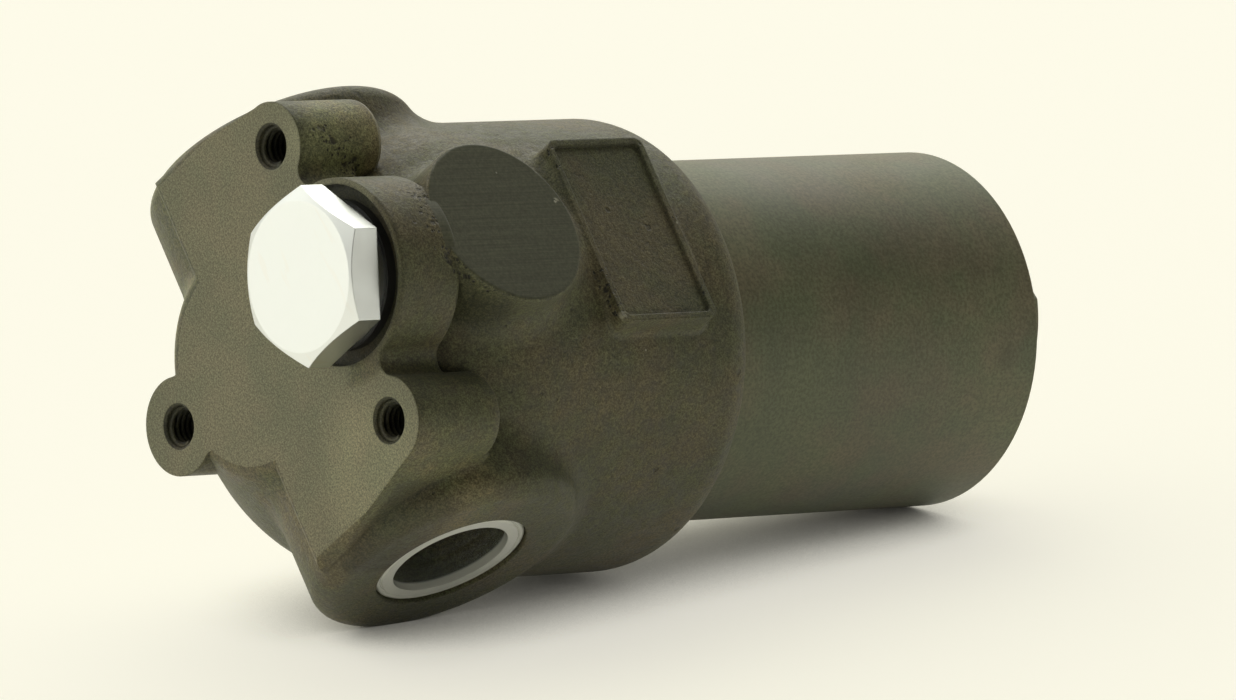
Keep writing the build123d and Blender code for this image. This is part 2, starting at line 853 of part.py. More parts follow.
outlet_port_cap.part.label = "outlet_port_cap"
export_step(outlet_port_cap.part, "parts/outlet_port_cap.step")
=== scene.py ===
import math

import bpy
from mathutils import Matrix, Vector


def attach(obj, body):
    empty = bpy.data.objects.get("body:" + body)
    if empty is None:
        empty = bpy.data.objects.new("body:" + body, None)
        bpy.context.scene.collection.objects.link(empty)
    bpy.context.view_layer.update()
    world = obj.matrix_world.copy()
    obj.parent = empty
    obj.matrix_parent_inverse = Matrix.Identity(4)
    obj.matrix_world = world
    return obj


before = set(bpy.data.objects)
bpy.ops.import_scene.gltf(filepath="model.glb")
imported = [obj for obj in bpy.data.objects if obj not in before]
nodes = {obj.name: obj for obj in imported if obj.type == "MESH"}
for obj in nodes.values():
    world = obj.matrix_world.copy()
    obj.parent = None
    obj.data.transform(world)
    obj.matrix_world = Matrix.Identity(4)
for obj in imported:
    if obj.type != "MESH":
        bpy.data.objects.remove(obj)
bpy.ops.object.select_all(action="DESELECT")
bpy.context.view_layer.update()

MM = 0.001

# The view of the photograph, worked out from the hexagons, the tapped holes and the bowl
EYE = Vector((827.4, 1466.1, 1453.7)) * MM
RIGHT = Vector((0.3748, 0.5649, -0.7351)).normalized()
AHEAD = Vector((-0.3612, -0.6412, -0.6770)).normalized()
UP = RIGHT.cross(AHEAD).normalized()
FOCAL_PIXELS = 11831.8
PHOTO_WIDTH = 1236
SENSOR_WIDTH = 36.0

# The filter lies on its inlet boss and on the lower edge of its bowl
FLOOR_UP = Vector((-0.7616, 0.6397, 0.1035)).normalized()
FLOOR_DEPTH = 52.9 * MM
FLOOR_SIZE = 24.0

# Sizes that the source also uses, in millimetres
HOLES = ((-30.0, 28.32), (30.0, 28.32), (0.0, -23.64))
TAPPED_R = 4.75
LOBE_R = 8.4
LOBE_END_Z = -19.9
PORT_Z = -29.2
PORT_THREAD_R = 13.2
BLANK_FACE_Y = 48.5
BLANK_TOP_Z = -11.6
RIM_Z = -92.2
PLUG_Y = 31.0
SPOT_R = 17.0
SPOT_DEPTH = 3.0
BOWL_BORE_R = 34.1
BOWL_THREAD_TOP_Z = -72.2

# Thread ridges, in millimetres: the wall they stand on, their pitch, turns and height
HOLE_THREAD = {"wall_r": 3.98, "pitch": 1.25, "turns": 10, "depth": 0.66}
PORT_THREAD = {"wall_r": PORT_THREAD_R - 0.02, "pitch": 1.81, "turns": 7, "depth": 0.42}
BOWL_THREAD = {"wall_r": 33.93, "pitch": 2.0, "turns": 7, "depth": 0.5}
PLUG_THREAD = {"wall_r": 9.93, "pitch": 1.5, "turns": 5, "depth": 0.4}
HOLE_THREAD_Z = -13.6
PORT_THREAD_X = 29.8
BOWL_THREAD_Z = -89.2
PLUG_THREAD_Z = -10.6
RIDGE_STEPS = 48
RIDGE_FOOT = 0.98
WELD = 0.002 * MM

# The bead round each cap, in millimetres
CAP_X = 44.15
BEAD_R = 14.55
BEAD_THICK = 0.62
BEAD_CORNERS = 14
BEAD_STEPS = 96

# Most values of a noise lie in these spans
MIDDLE = (0.3, 0.7)
WIDE = (0.28, 0.72)


class Finish:
    """A procedural surface that reads the object's own coordinates."""

    def __init__(self, name, roughness, metallic=0.0, specular=0.5):
        self.material = bpy.data.materials.new(name)
        self.material.use_nodes = True
        self.tree = self.material.node_tree
        self.shader = self.tree.nodes["Principled BSDF"].inputs
        self.shader["Roughness"].default_value = roughness
        self.shader["Metallic"].default_value = metallic
        self.shader["Specular IOR Level"].default_value = specular
        self.place = self.node("TexCoord").outputs["Object"]

    def node(self, kind, **settings):
        node = self.tree.nodes.new("ShaderNode" + kind)
        for name, value in settings.items():
            setattr(node, name, value)
        return node

    def feed(self, socket, value):
        """Joins a node output to a socket, or sets a plain value there."""
        if isinstance(value, bpy.types.NodeSocket):
            self.tree.links.new(value, socket)
        else:
            socket.default_value = value

    def set(self, name, value):
        self.feed(self.shader[name], value)

    def axes(self):
        split = self.node("SeparateXYZ")
        self.feed(split.inputs[0], self.place)
        return split.outputs

    def stretched(self, factors):
        mapping = self.node("Mapping")
        mapping.inputs["Scale"].default_value = factors
        self.feed(mapping.inputs["Vector"], self.place)
        return mapping.outputs["Vector"]

    def grain(self, scale, detail=3.0, roughness=0.6, distortion=0.0, place=None):
        noise = self.node("TexNoise")
        noise.inputs["Scale"].default_value = scale
        noise.inputs["Detail"].default_value = detail
        noise.inputs["Roughness"].default_value = roughness
        noise.inputs["Distortion"].default_value = distortion
        self.feed(noise.inputs["Vector"], place or self.place)
        return noise.outputs["Fac"]

    def math(self, kind, first, *others):
        node = self.node("Math", operation=kind)
        for socket, value in zip(node.inputs, (first,) + others):
            self.feed(socket, value)
        return node.outputs[0]

    def product(self, first, *others):
        for value in others:
            first = self.math("MULTIPLY", first, value)
        return first

    def largest(self, first, *others):
        for value in others:
            first = self.math("MAXIMUM", first, value)
        return first

    def between(self, value, low, high, to_low=0.0, to_high=1.0):
        ramp = self.node("MapRange", interpolation_type="SMOOTHSTEP")
        ramp.inputs["From Min"].default_value = low
        ramp.inputs["From Max"].default_value = high
        ramp.inputs["To Min"].default_value = to_low
        ramp.inputs["To Max"].default_value = to_high
        self.feed(ramp.inputs["Value"], value)
        return ramp.outputs["Result"]

    def beyond(self, value, start, full):
        """0 up to start and 1 from full on, for a value in metres and limits in millimetres."""
        return self.between(value, start * MM, full * MM)

    def within(self, value, full, end):
        """1 up to full and 0 from end on, for a value in metres and limits in millimetres."""
        return self.between(value, full * MM, end * MM, 1.0, 0.0)

    def tone(self, noise, darkest, lightest, span=MIDDLE):
        """A factor that follows a noise from darkest to lightest."""
        return self.between(noise, *span, darkest, lightest)

    def where(self, mask, factor):
        """The factor where the mask is 1, and 1 where it is 0."""
        return self.between(mask, 0.0, 1.0, 1.0, factor)

    def blend(self, share, first, second, kind="MIX"):
        mix = self.node("Mix", data_type="RGBA", blend_type=kind)
        for name, value in (("Factor", share), ("A", first), ("B", second)):
            self.feed(mix.inputs[name], value)
        return mix.outputs["Result"]

    def shaded(self, colour, *tones):
        """The colour, darkened or lightened by each tone."""
        return self.blend(1.0, colour, self.product(*tones), "MULTIPLY")

    def relief(self, height, distance, strength=1.0, over=None):
        bump = self.node("Bump")
        bump.inputs["Distance"].default_value = distance
        self.feed(bump.inputs["Strength"], strength)
        self.feed(bump.inputs["Height"], height)
        if over is not None:
            self.feed(bump.inputs["Normal"], over)
        return bump.outputs["Normal"]

    def soft_edges(self, radius, samples=4):
        bevel = self.node("Bevel", samples=samples)
        self.feed(bevel.inputs["Radius"], radius)
        return bevel.outputs["Normal"]

    def crevices(self, reach, own=True):
        """Ambient occlusion for painted shade: 1 in the open, falling towards 0 in a narrow corner of the
        piece itself, or of all.
        """
        dark = self.node("AmbientOcclusion", samples=8, only_local=own)
        dark.inputs["Distance"].default_value = reach
        return dark.outputs["AO"]

    def facing(self, direction):
        """1 where the surface looks along a direction, -1 where it looks away."""
        dot = self.node("VectorMath", operation="DOT_PRODUCT")
        self.feed(dot.inputs[0], self.node("NewGeometry").outputs["Normal"])
        dot.inputs[1].default_value = Vector(direction).normalized()
        return dot.outputs["Value"]

    def near(self, point, inner, outer):
        """1 within inner of a point, 0 beyond outer, all in millimetres."""
        gap = self.node("VectorMath", operation="DISTANCE")
        self.feed(gap.inputs[0], self.place)
        gap.inputs[1].default_value = Vector(point) * MM
        return self.within(gap.outputs["Value"], inner, outer)

    def cells(self, scale, place=None):
        pattern = self.node("TexVoronoi")
        pattern.inputs["Scale"].default_value = scale
        self.feed(pattern.inputs["Vector"], place or self.place)
        return pattern.outputs

    def off_axis(self, axis, centre):
        """Distance in metres from a line along one axis through a centre in millimetres."""
        flat = [1.0, 1.0, 1.0]
        flat["XYZ".index(axis)] = 0.0
        mapping = self.node("Mapping", vector_type="TEXTURE")
        mapping.inputs["Location"].default_value = Vector(centre) * MM
        self.feed(mapping.inputs["Vector"], self.place)
        kept = self.node("VectorMath", operation="MULTIPLY")
        self.feed(kept.inputs[0], mapping.outputs["Vector"])
        kept.inputs[1].default_value = flat
        length = self.node("VectorMath", operation="LENGTH")
        self.feed(length.inputs[0], kept.outputs[0])
        return length.outputs["Value"]


# Clusters of pores in the cast skin: centre, full strength within, none beyond
PORE_CLUSTERS = (
    # the side of the upper lobe
    ((-28.4, 36.6, -5.6), 0.8, 3.2), ((-25.6, 36.2, -8.0), 1.2, 3.6), ((-23.2, 34.4, -11.2), 1.4, 3.8),
    ((-21.4, 32.4, -14.2), 1.6, 3.4), ((-26.6, 36.2, -12.6), 0.3, 1.1),
    # along the lower edge of the blank boss
    ((-9.6, 48.0, -11.0), 0.8, 3.0), ((-6.0, 48.0, -11.2), 1.0, 3.2), ((-2.5, 48.2, -11.0), 1.2, 3.2),
    ((0.9, 48.0, -10.6), 1.2, 3.4), ((4.7, 47.8, -10.8), 1.4, 3.2), ((8.5, 47.6, -12.6), 1.0, 2.8),
    ((11.6, 47.6, -15.6), 0.8, 2.4), ((14.0, 47.4, -19.6), 0.5, 2.0),
    # the corners and edges of the pad
    ((-17.8, 43.6, -51.8), 0.7, 2.4), ((-14.0, 43.8, -52.0), 0.5, 2.2), ((9.0, 43.6, -52.6), 0.5, 2.0),
    ((13.0, 43.4, -52.8), 0.8, 2.4), ((17.0, 43.0, -52.8), 0.9, 2.6), ((14.2, 43.8, -76.2), 0.4, 1.8),
    ((-2.6, 43.8, -76.4), 0.3, 1.4),
)


# Pore sizes: cells to the metre, and the share of them that are pits inside a cluster
PORE_SIZES = ((480, 0.74), (1000, 0.86))
LONE_PORES = 0.012
PORE_BEND = 0.9 * MM
BEND_FINENESS = 900
PORE_DARK = (0.018, 0.016, 0.011, 1)

# Places on the head with a tone of their own, or with painted light or painted shade: centre, full within,
# none beyond, in millimetres
# painted light on the side of the upper lobe
LIT_UPPER_LOBE = ((-26.5, 35.5, -11.0), 6.0, 14.0)
# painted light on the lower lobe
LIT_LOWER_LOBE = ((36.0, 20.0, -10.0), 9.0, 24.0)
# painted shade in the valley beside the blank boss
VALLEY_SHADE = ((15.0, 41.5, -21.0), 2.0, 9.0)
BLANK_CHIP = ((-4.0, 48.5, -43.9), 0.3, 0.9)
PAD_NICKS = (((18.6, 43.6, -53.2), 0.3, 1.3), ((14.6, 44.0, -75.8), 0.2, 0.8))
BOWL_SMUDGE = ((22.0, 26.5, -166.0), 0.6, 4.0)

# Green and brown patches of the coat, on the cast skin, the faces, the milled boss and the bowl
SKIN = ((0.104, 0.106, 0.051, 1), (0.121, 0.103, 0.054, 1))
FACE = ((0.167, 0.165, 0.094, 1), (0.181, 0.164, 0.096, 1))
MILLED = ((0.084, 0.089, 0.052, 1), (0.091, 0.091, 0.056, 1))
BOWL_COAT = ((0.156, 0.172, 0.096, 1), (0.188, 0.168, 0.104, 1))
BARE_METAL = (0.62, 0.60, 0.48, 1)


def pore_depth(iron, open_skin):
    """Blowholes in the cast skin: dense in the clusters, few elsewhere."""
    clusters = iron.largest(*(iron.near(*cluster) for cluster in PORE_CLUSTERS))
    wobble = iron.node("TexNoise")
    wobble.inputs["Scale"].default_value = BEND_FINENESS
    iron.feed(wobble.inputs["Vector"], iron.place)
    bent = iron.node("VectorMath", operation="MULTIPLY_ADD")
    iron.feed(bent.inputs[0], wobble.outputs["Color"])
    bent.inputs[1].default_value = (PORE_BEND, PORE_BEND, PORE_BEND)
    iron.feed(bent.inputs[2], iron.place)
    pits = []
    for scale, share in PORE_SIZES:
        cells = iron.cells(scale, bent.outputs[0])
        chance = iron.node("SeparateColor")
        iron.feed(chance.inputs[0], cells["Color"])
        wanted = iron.math("MULTIPLY_ADD", clusters, share, LONE_PORES)
        picked = iron.between(iron.math("SUBTRACT", wanted, chance.outputs[0]), 0.0, 0.02)
        round_pit = iron.between(cells["Distance"], 0.20, 0.42, 1.0, 0.0)
        pits.append(iron.product(picked, round_pit))
    return iron.product(iron.largest(*pits), open_skin)


def valley_mask(iron, x, y, z):
    """1 in the corner between the sides of the slab and the tops of the port bosses."""
    return iron.product(
        iron.beyond(iron.math("ABSOLUTE", x), 12, 18), iron.beyond(y, -1, 3),
        iron.beyond(z, -2.2, -4.0), iron.beyond(z, -24, -20),
    )


def spot_rim_mask(iron, x, y, z, from_plug):
    """1 on the cast edge beside the spot face of the plug, on the side of the blank boss."""
    return iron.product(
        iron.beyond(from_plug, SPOT_R - 0.4, SPOT_R), iron.within(from_plug, SPOT_R + 3.0, SPOT_R + 5.0),
        iron.beyond(iron.math("ADD", x, y), PLUG_Y + 7, PLUG_Y + 12), iron.beyond(z, -2.0, -1.0),
    )


def machined_faces(iron, y, z, spot_rim):
    """Masks of all the machined faces, and of the milled face of the blank boss alone."""
    plate = iron.product(
        iron.math("GREATER_THAN", z, -0.05 * MM), iron.math("SUBTRACT", 1.0, spot_rim)
    )
    blank = iron.product(
        iron.math("GREATER_THAN", y, (BLANK_FACE_Y - 0.08) * MM),
        iron.math("LESS_THAN", z, BLANK_TOP_Z * MM),
    )
    rim = iron.math("LESS_THAN", z, (RIM_Z + 0.1) * MM)
    return iron.largest(plate, blank, rim), blank


def two_grains(finish, large, small, share):
    """A slow noise with a finer one laid over it, for patches of hue."""
    slow = finish.grain(large, 2.0, 0.5)
    quick = finish.product(finish.grain(small, 2.0, 0.5), 1.0 - share)
    return finish.math("MULTIPLY_ADD", slow, share, quick)


def casting_colour(iron, machined, blank, sand, coarse, lines):
    """The coat on the cast skin, on the fine faces and on the milled boss."""
    fine = iron.tone(iron.grain(3000, 1.0, 0.6), 0.74, 1.26)
    clouds = iron.grain(42, 3.0, 0.6)
    hue = two_grains(iron, 40, 150, 0.6)
    skin = iron.shaded(
        iron.blend(iron.between(hue, 0.40, 0.60), *SKIN),
        iron.tone(clouds, 0.84, 1.16), iron.tone(coarse, 0.78, 1.22, WIDE),
        iron.tone(sand, 0.66, 1.30, WIDE), fine,
    )
    smooth = iron.shaded(
        iron.blend(iron.between(hue, 0.36, 0.64), *FACE),
        iron.tone(sand, 0.80, 1.20, WIDE), iron.tone(clouds, 0.90, 1.10), fine,
    )
    furrows = iron.grain(1.0, 1.0, 0.5, place=iron.stretched((420, 1, 9)))
    milled = iron.shaded(
        iron.blend(hue, *MILLED),
        iron.tone(lines, 0.80, 1.20), iron.between(furrows, 0.26, 0.36, 0.66, 1.0),
        iron.tone(sand, 0.80, 1.20, WIDE),
    )
    return iron.blend(machined, skin, iron.blend(blank, smooth, milled))


def shaded_deep_walls(iron, z, from_plug):
    """1 on the walls of the tapped holes and of the spot face, where painted shade darkens the coat."""
    below_face = iron.beyond(z, -0.02, -0.08)
    in_holes = iron.largest(*(
        iron.within(iron.off_axis("Z", (hole_x, hole_y, 0)), TAPPED_R, TAPPED_R + 0.2)
        for hole_x, hole_y in HOLES
    ))
    holes = iron.product(in_holes, below_face, iron.beyond(z, -17, -16))
    spot = iron.product(
        iron.within(from_plug, SPOT_R - 0.2, SPOT_R - 0.02), below_face,
        iron.beyond(z, -SPOT_DEPTH - 0.2, -SPOT_DEPTH),
    )
    return iron.largest(holes, spot)


def casting_tones(iron, x, y, z, coarse, from_plug):
    """Factors of painted light and painted shade that lighten or darken parts of the head."""
    # painted light on the side of the slab, lighter where it faces -X and -Y
    lit_slab_side = iron.product(
        iron.beyond(z, -9.0, -6.0), iron.beyond(z, -0.02, -0.1),
        iron.between(iron.facing((-0.7, -0.7, 0.1)), 0.3, 0.8),
    )
    # painted shade where the side of the slab meets the port boss
    shaded_slab_root = iron.product(
        iron.between(iron.facing((0.7, 0.5, 0.2)), 0.2, 0.7), iron.beyond(x, 21, 25),
        iron.beyond(y, 25, 19), iron.beyond(y, -4, 0),
        iron.beyond(z, -1, -4), iron.beyond(z, -20, -14), iron.tone(coarse, 0.6, 1.2),
    )
    return (
        # painted shade in narrow corners of the head
        iron.between(iron.crevices(2.2 * MM), 0.25, 0.85, 0.42, 1.0),
        # painted light on the side of the upper lobe
        iron.where(iron.near(*LIT_UPPER_LOBE), 2.6),
        # painted light on the side of the slab
        iron.where(lit_slab_side, 2.0),
        # painted light on the lower lobe
        iron.where(iron.near(*LIT_LOWER_LOBE), 1.4),
        # painted shade inside the tapped holes and the spot face
        iron.where(shaded_deep_walls(iron, z, from_plug), 0.4),
        # painted shade in the valley beside the blank boss
        iron.where(iron.near(*VALLEY_SHADE), 0.6),
        # painted shade at the root of the slab
        iron.where(shaded_slab_root, 0.5),
    )


def bare_marks(iron, z, coarse):
    """Bright flecks, a chip on the blank boss, nicks on the pad and a bright line along the end edge of the
    upper lobe.
    """
    flecks = iron.between(iron.cells(95)["Distance"], 0.016, 0.030, 1.0, 0.0)
    from_line = iron.math("ABSOLUTE", iron.math("ADD", z, -LOBE_END_Z * MM))
    # a bright line along the end edge of the upper lobe
    edge_line = iron.product(
        iron.within(from_line, 0.12, 0.3),
        iron.within(iron.off_axis("Z", (*HOLES[0], 0)), LOBE_R + 0.1, LOBE_R + 0.4),
        iron.between(coarse, 0.35, 0.5),
    )
    chip = iron.product(iron.near(*BLANK_CHIP), iron.between(coarse, 0.40, 0.5))
    nicks = iron.product(
        iron.largest(*(iron.near(*nick) for nick in PAD_NICKS)), iron.between(coarse, 0.46, 0.54)
    )
    return iron.largest(
        iron.product(flecks, 0.5), iron.product(edge_line, 0.55),
        iron.product(chip, 0.9), iron.product(nicks, 0.5),
    )


def phosphated_casting():
    """Sand-cast iron under a dark olive phosphate coat, with machined faces and pores."""
    iron = Finish("phosphated_casting", 0.56)
    x, y, z = iron.axes()
    from_plug = iron.off_axis("Z", (0, PLUG_Y, 0))
    spot_rim = spot_rim_mask(iron, x, y, z, from_plug)
    machined, blank = machined_faces(iron, y, z, spot_rim)
    sand = iron.grain(1500, 2.0, 0.75)
    coarse = iron.grain(460, 3.0, 0.65)
    lines = iron.grain(1.0, 3.0, 0.7, place=iron.stretched((2400, 1, 26)))
    pores = pore_depth(iron, iron.math("SUBTRACT", 1.0, machined))

    colour = casting_colour(iron, machined, blank, sand, coarse, lines)
    colour = iron.blend(iron.product(pores, 0.9), colour, PORE_DARK)
    colour = iron.shaded(colour, *casting_tones(iron, x, y, z, coarse, from_plug))
    iron.set("Base Color", iron.blend(bare_marks(iron, z, coarse), colour, BARE_METAL))

    # Turns of the bowl thread in the head
    in_bowl = iron.product(
        iron.within(iron.off_axis("Z", (0, 0, 0)), BOWL_BORE_R, BOWL_BORE_R + 0.2),
        iron.beyond(z, BOWL_THREAD_TOP_Z, BOWL_THREAD_TOP_Z - 0.4),
    )
    turns = iron.math("SINE", iron.product(z, 2 * math.pi / (BOWL_THREAD["pitch"] * MM)))

    height = iron.math("MULTIPLY_ADD", sand, 0.5, coarse)
    height = iron.product(height, iron.where(machined, 0.14))
    height = iron.math("SUBTRACT", height, iron.product(pores, 1.6))
    edge = iron.largest(
        0.5 * MM, iron.product(valley_mask(iron, x, y, z), 3.0 * MM), iron.product(spot_rim, 1.8 * MM)
    )
    normal = iron.relief(height, 0.24 * MM, 0.9, iron.soft_edges(edge, 6))
    normal = iron.relief(iron.product(turns, in_bowl), 0.35 * MM, 1.0, normal)
    iron.set("Normal", iron.relief(iron.product(lines, blank), 0.03 * MM, 0.7, normal))
    iron.set("Roughness", iron.blend(machined, iron.tone(coarse, 0.50, 0.66), (0.52, 0.52, 0.52, 1)))
    iron.set("Sheen Weight", 0.08)
    iron.set("Sheen Roughness", 0.4)
    return iron.material


def phosphated_bowl():
    """Turned steel under the same coat, mottled, with fine turning lines."""
    steel = Finish("phosphated_bowl", 0.5)
    clouds = steel.grain(24, 4.0, 0.6, 0.4)
    hue = two_grains(steel, 30, 110, 0.65)
    sand = steel.grain(1500, 2.0, 0.7)
    bands = steel.grain(1.0, 3.0, 0.7, place=steel.stretched((4, 4, 700)))
    colour = steel.shaded(
        steel.blend(steel.between(hue, 0.40, 0.60), *BOWL_COAT),
        steel.tone(clouds, 0.80, 1.18), steel.tone(bands, 0.96, 1.04),
        steel.tone(sand, 0.76, 1.24, WIDE),
        # painted shade in narrow corners of the bowl
        steel.between(steel.crevices(1.5 * MM), 0.25, 0.9, 0.5, 1.0),
    )
    smudge = steel.product(steel.near(*BOWL_SMUDGE), 0.3)
    steel.set("Base Color", steel.blend(smudge, colour, (0.05, 0.05, 0.03, 1)))
    height = steel.math("MULTIPLY_ADD", bands, 0.7, steel.product(sand, 0.6))
    steel.set("Normal", steel.relief(height, 0.04 * MM, 0.7, steel.soft_edges(0.4 * MM)))
    steel.set("Roughness", steel.tone(clouds, 0.46, 0.58))
    return steel.material


def zinc_plate():
    """Bright zinc on the hexagon plug, faintly brushed."""
    zinc = Finish("zinc_plate", 0.36, 1.0)
    clouds = zinc.grain(110, 3.0, 0.6)
    scratches = zinc.grain(1.0, 3.0, 0.6, place=zinc.stretched((900, 60, 900)))
    scuffs = zinc.between(zinc.grain(1.0, 2.0, 0.5, 0.5, zinc.stretched((90, 420, 90))), 0.62, 0.72)
    colour = zinc.blend(clouds, (0.87, 0.91, 0.91, 1), (0.94, 0.96, 0.97, 1))
    # painted shade in narrow corners of the plug
    colour = zinc.shaded(colour, zinc.between(zinc.crevices(0.8 * MM), 0.2, 0.8, 0.6, 1.0))
    zinc.set("Base Color", zinc.blend(zinc.product(scuffs, 0.5), colour, (0.90, 0.90, 0.88, 1)))
    zinc.set("Normal", zinc.relief(scratches, 0.01 * MM, 0.6, zinc.soft_edges(0.3 * MM)))
    zinc.set("Roughness", zinc.tone(clouds, 0.30, 0.42))
    return zinc.material


def translucent_cap():
    """Thin milky plastic, clearer in the deep of the cup than on the flange, and darker there by painted
    shade.
    """
    cap = Finish("translucent_cap", 0.24, 0.0, 0.8)
    deep = cap.beyond(cap.math("ABSOLUTE", cap.axes()[0]), CAP_X - 0.65, CAP_X - 1.35)
    clouds = cap.grain(130, 3.0, 0.6)
    rings = cap.grain(1.0, 2.0, 0.5, place=cap.stretched((700, 22, 22)))
    colour = cap.blend(clouds, (0.90, 0.91, 0.83, 1), (0.96, 0.97, 0.92, 1))
    # painted shade darkens the deep of the cup, where the plastic is also clearer
    cap.set("Base Color", cap.blend(deep, colour, (0.55, 0.58, 0.55, 1)))
    cap.set("Coat Weight", 0.6)
    cap.set("Coat Roughness", 0.12)
    clear = cap.product(deep, cap.between(rings, 0.35, 0.72, 0.95, 0.72))
    cap.set("Alpha", cap.math("SUBTRACT", 1.0, clear))
    cap.set("Normal", cap.relief(cap.math("ADD", clouds, rings), 0.05 * MM, 0.5, cap.soft_edges(0.3 * MM)))
    return cap.material


def mottled(name, scale, dark, light, roughness, depth):
    """A plain rubber or plastic with faint clouds and a fine relief."""
    plain = Finish(name, roughness)
    clouds = plain.grain(scale, 3.0, 0.6)
    plain.set("Base Color", plain.blend(clouds, dark, light))
    plain.set("Normal", plain.relief(clouds, depth, 0.5))
    return plain.material


def bright_metal(name, dark, light, roughness, fineness):
    """Turned or rolled metal with fine lines, given by their fineness along each axis."""
    metal = Finish(name, roughness, 1.0)
    lines = metal.grain(1.0, 3.0, 0.7, place=metal.stretched(fineness))
    metal.set("Base Color", metal.blend(lines, dark, light))
    metal.set("Normal", metal.relief(lines, 0.02 * MM, 0.6))
    metal.set("Roughness", metal.tone(lines, roughness - 0.06, roughness + 0.08))
    return metal.material


def glass_fibre_pleats():
    """Pale felted fibres with faint yellow clouds."""
    media = Finish("glass_fibre_pleats", 0.9, 0.0, 0.2)
    fibres = media.grain(700, 5.0, 0.7, 1.2)
    clouds = media.grain(40, 3.0, 0.5)
    colour = media.blend(fibres, (0.62, 0.58, 0.46, 1), (0.84, 0.81, 0.71, 1))
    media.set("Base Color", media.blend(media.product(clouds, 0.3), colour, (0.55, 0.5, 0.38, 1)))
    media.set("Normal", media.relief(fibres, 0.06 * MM, 0.8))
    return media.material


FINISHES = {
    "filter_head": phosphated_casting(),
    "filter_bowl": phosphated_bowl(),
    "indicator_plug": zinc_plate(),
    "inlet_port_cap": translucent_cap(),
    "element_media": glass_fibre_pleats(),
    "bowl_backup_ring": mottled(
        "backup_polymer", 160, (0.72, 0.70, 0.62, 1), (0.82, 0.80, 0.74, 1), 0.45, 0.02 * MM
    ),
    "bowl_o_ring": mottled(
        "seal_rubber", 260, (0.012, 0.012, 0.012, 1), (0.03, 0.03, 0.03, 1), 0.5, 0.03 * MM
    ),
    "element_spigot": bright_metal(
        "turned_steel", (0.36, 0.36, 0.35, 1), (0.55, 0.55, 0.53, 1), 0.34, (8, 8, 1400)
    ),
    "element_core": bright_metal(
        "tinned_sheet", (0.5, 0.51, 0.5, 1), (0.68, 0.69, 0.68, 1), 0.3, (240, 240, 30)
    ),
    "bypass_spring": bright_metal(
        "spring_wire", (0.32, 0.32, 0.33, 1), (0.5, 0.5, 0.5, 1), 0.32, (500, 500, 500)
    ),
    "bypass_seal": bright_metal(
        "soft_copper", (0.55, 0.27, 0.15, 1), (0.72, 0.4, 0.25, 1), 0.36, (300, 300, 300)
    ),
}
SAME_FINISH = {
    "outlet_port_cap": "inlet_port_cap", "plug_seal_ring": "bowl_o_ring", "element_o_ring": "bowl_o_ring",
    "element_top_cap": "element_core", "element_bottom_cap": "element_core", "element_wrap": "element_core",
    "bypass_valve_body": "element_spigot", "bypass_poppet": "element_spigot",
    "bypass_spring_retainer": "element_spigot",
}
for name, node in nodes.items():
    node.data.materials.clear()
    node.data.materials.append(FINISHES[SAME_FINISH.get(name, name)])


# Screw threads

def thread_ridge(name, body, finish, thread, centre, inward=True, tilt=0.0):
    """A ridge wound on a round wall. It starts at the centre given and rises along its axis."""
    # A triangle in a circle has sides of sqrt(3) and a height of 1.5 times the radius
    circle_r = thread["pitch"] * RIDGE_FOOT / math.sqrt(3)
    squeeze = thread["depth"] / (1.5 * circle_r)
    apex = -1 if inward else 1
    middle_r = thread["wall_r"] + apex * thread["depth"] / 3
    bpy.ops.mesh.primitive_circle_add(
        vertices=3, radius=circle_r * MM, fill_type="NOTHING",
        rotation=(0, math.pi / 2, -apex * math.pi / 2),
        location=(middle_r * MM, 0, 0), scale=(1, squeeze, 1),
    )
    ridge = bpy.context.object
    ridge.name = name
    bpy.ops.object.transform_apply(location=True, rotation=True, scale=True)
    winding = ridge.modifiers.new("winding", "SCREW")
    winding.axis = "Z"
    winding.screw_offset = thread["pitch"] * MM
    winding.iterations = thread["turns"]
    winding.steps = RIDGE_STEPS
    winding.render_steps = RIDGE_STEPS
    winding.use_merge_vertices = False
    winding.use_normal_calculate = True
    bpy.ops.object.modifier_apply(modifier="winding")
    bpy.ops.object.mode_set(mode="EDIT")
    bpy.ops.mesh.select_all(action="SELECT")
    bpy.ops.mesh.remove_doubles(threshold=WELD)
    bpy.ops.mesh.select_all(action="DESELECT")
    bpy.ops.mesh.select_non_manifold()
    bpy.ops.mesh.edge_face_add()
    bpy.ops.mesh.select_all(action="SELECT")
    bpy.ops.mesh.normals_make_consistent(inside=False)
    bpy.ops.transform.rotate(
        value=tilt, orient_axis="Y", orient_type="GLOBAL", center_override=(0, 0, 0)
    )
    bpy.ops.transform.translate(value=tuple(number * MM for number in centre))
    bpy.ops.object.mode_set(mode="OBJECT")
    ridge.data.materials.append(FINISHES[finish])
    ridge.select_set(False)
    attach(ridge, body)


for index, (hole_x, hole_y) in enumerate(HOLES):
    thread_ridge(
        "hole_thread_%d" % (index + 1), "head", "filter_head",
        HOLE_THREAD, (hole_x, hole_y, HOLE_THREAD_Z),
    )
for port, side in (("inlet", 1), ("outlet", -1)):
    thread_ridge(
        port + "_port_thread", "head", "filter_head",
        PORT_THREAD, (side * PORT_THREAD_X, 0, PORT_Z), tilt=side * math.pi / 2,
    )
thread_ridge(
    "bowl_thread", "bowl", "filter_bowl",
    BOWL_THREAD, (0, 0, BOWL_THREAD_Z), inward=False,
)
thread_ridge(
    "plug_thread", "plug", "indicator_plug",
    PLUG_THREAD, (0, PLUG_Y, PLUG_THREAD_Z), inward=False,
)


# Beads of the port caps

